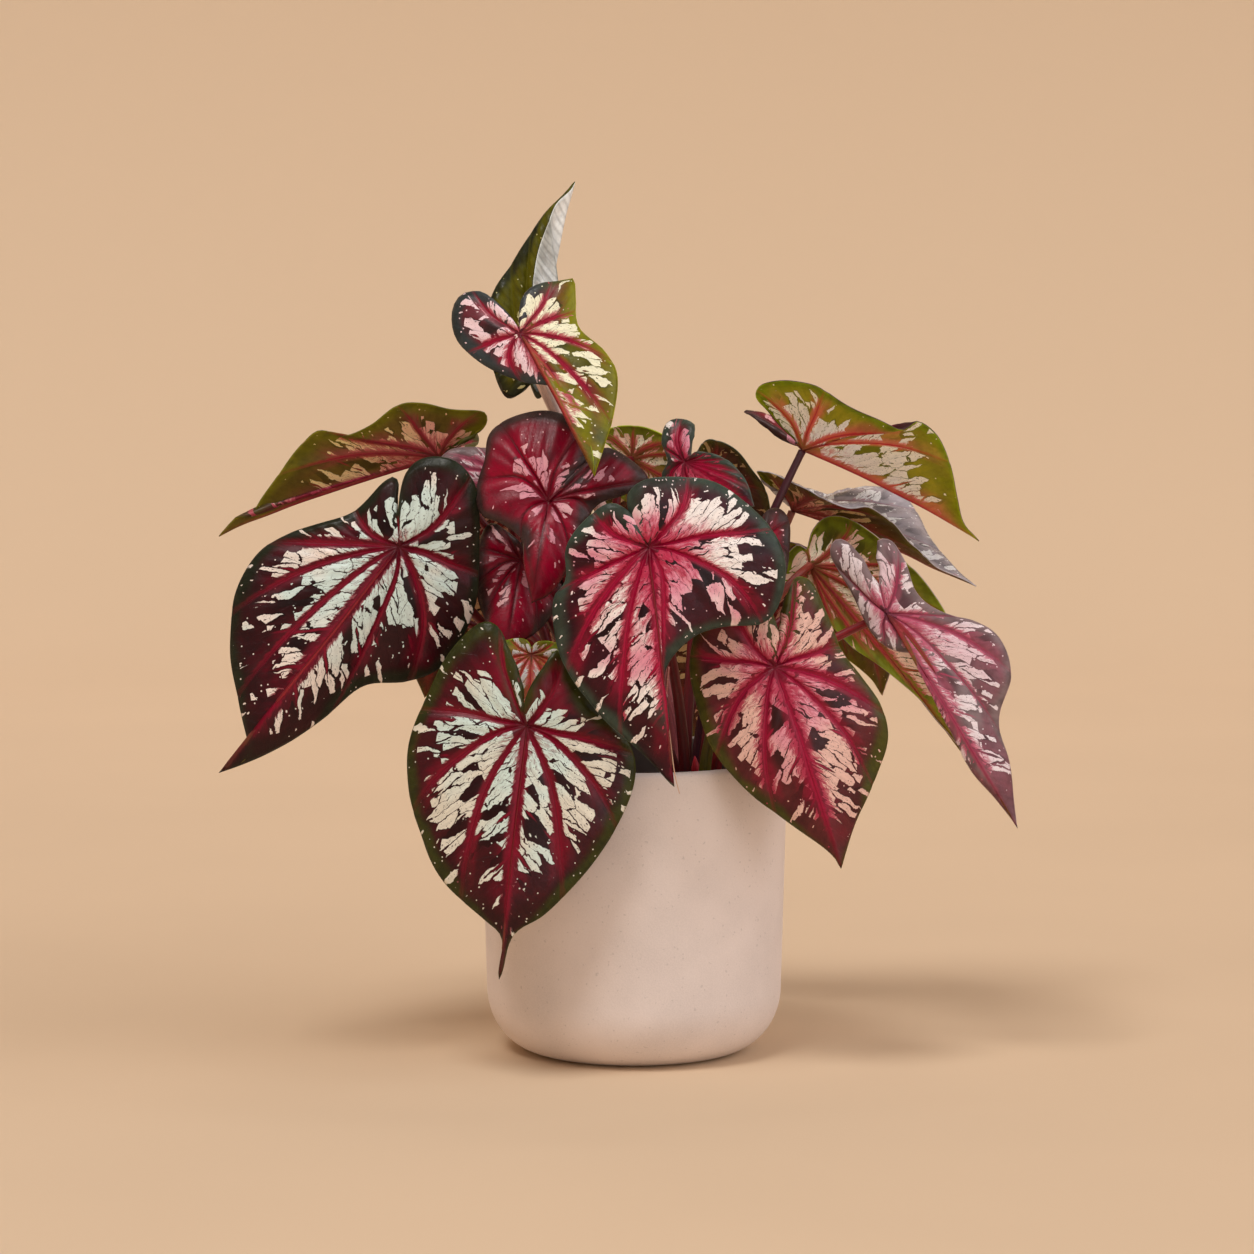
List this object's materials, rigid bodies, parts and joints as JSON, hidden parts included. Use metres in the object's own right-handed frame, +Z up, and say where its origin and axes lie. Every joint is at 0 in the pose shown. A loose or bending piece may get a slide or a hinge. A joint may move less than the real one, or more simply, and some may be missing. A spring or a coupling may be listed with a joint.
{
  "type": "potted caladium plant",
  "caption": "Potted caladium: heart-shaped variegated leaves on slender red stalks, rising from tubers in soil in a plain round-bottomed clay pot.",
  "frame": {"origin": "centre of the pot's flat base, on the pot's axis", "axes": "+Z up along the pot axis, -Y toward the viewer of the picture, +X to that viewer's right"},
  "size_m": [0.3951, 0.2421, 0.4351],
  "materials": {
    "pot_clay": "matte unglazed pale pink clay, fine grain",
    "soil_peat": "damp crumbly peat mix, matte",
    "tuber_skin": "brown corky tuber skin, matte",
    "shoot_sheath": "smooth crimson leaf sheath, satin",
    "petiole_red": "smooth dark red leaf stalk, satin",
    "petiole_pale": "smooth pink and cream leaf stalk, satin",
    "blade_mint": "semi-gloss leaf, mint white blotches, crimson veins, dark green margin",
    "blade_crimson": "semi-gloss leaf, crimson and maroon with pink white blotches, green margin",
    "blade_pink": "semi-gloss leaf, dusty pink blotches on maroon, olive margin",
    "blade_olive": "leaf underside, olive green with cream and salmon veins"
  },
  "bodies": {
    "root": {"leaf_back_left": "blade_crimson", "leaf_back_low_left": "blade_pink", "leaf_back_low_right": "blade_crimson", "leaf_back_right": "blade_pink", "leaf_back_top": "blade_crimson", "leaf_back_top_left": "blade_olive", "leaf_behind_low": "blade_olive", "leaf_behind_top": "blade_olive", "leaf_centre_crimson": "blade_crimson", "leaf_front_centre": "blade_crimson", "leaf_front_low": "blade_mint", "leaf_left_front": "blade_mint", "leaf_left_top": "blade_olive", "leaf_pink_lobe": "blade_pink", "leaf_right_back": "blade_olive", "leaf_right_droop": "blade_pink", "leaf_right_low": "blade_pink", "leaf_right_top": "blade_olive", "leaf_right_under": "blade_olive", "leaf_shaded_left": "blade_crimson", "leaf_shaded_right": "blade_crimson", "leaf_side_left": "blade_pink", "leaf_striped_small": "blade_pink", "leaf_top": "blade_olive", "leaf_young": "blade_olive", "new_shoot": "shoot_sheath", "petiole_back_left": "petiole_red", "petiole_back_low_left": "petiole_red", "petiole_back_low_right": "petiole_red", "petiole_back_right": "petiole_red", "petiole_back_top": "petiole_red", "petiole_back_top_left": "petiole_red", "petiole_behind_low": "petiole_red", "petiole_behind_top": "petiole_red", "petiole_centre_crimson": "petiole_red", "petiole_front_centre": "petiole_red", "petiole_front_low": "petiole_red", "petiole_left_front": "petiole_red", "petiole_left_top": "petiole_red", "petiole_pink_lobe": "petiole_red", "petiole_right_back": "petiole_red", "petiole_right_droop": "petiole_red", "petiole_right_low": "petiole_red", "petiole_right_top": "petiole_red", "petiole_right_under": "petiole_red", "petiole_shaded_left": "petiole_red", "petiole_shaded_right": "petiole_red", "petiole_side_left": "petiole_red", "petiole_striped_small": "petiole_red", "petiole_top": "petiole_pale", "petiole_young": "petiole_pale", "pot": "pot_clay", "soil": "soil_peat", "tuber_back": "tuber_skin", "tuber_front": "tuber_skin", "tuber_left": "tuber_skin", "tuber_right": "tuber_skin"}
  },
  "joints": []
}
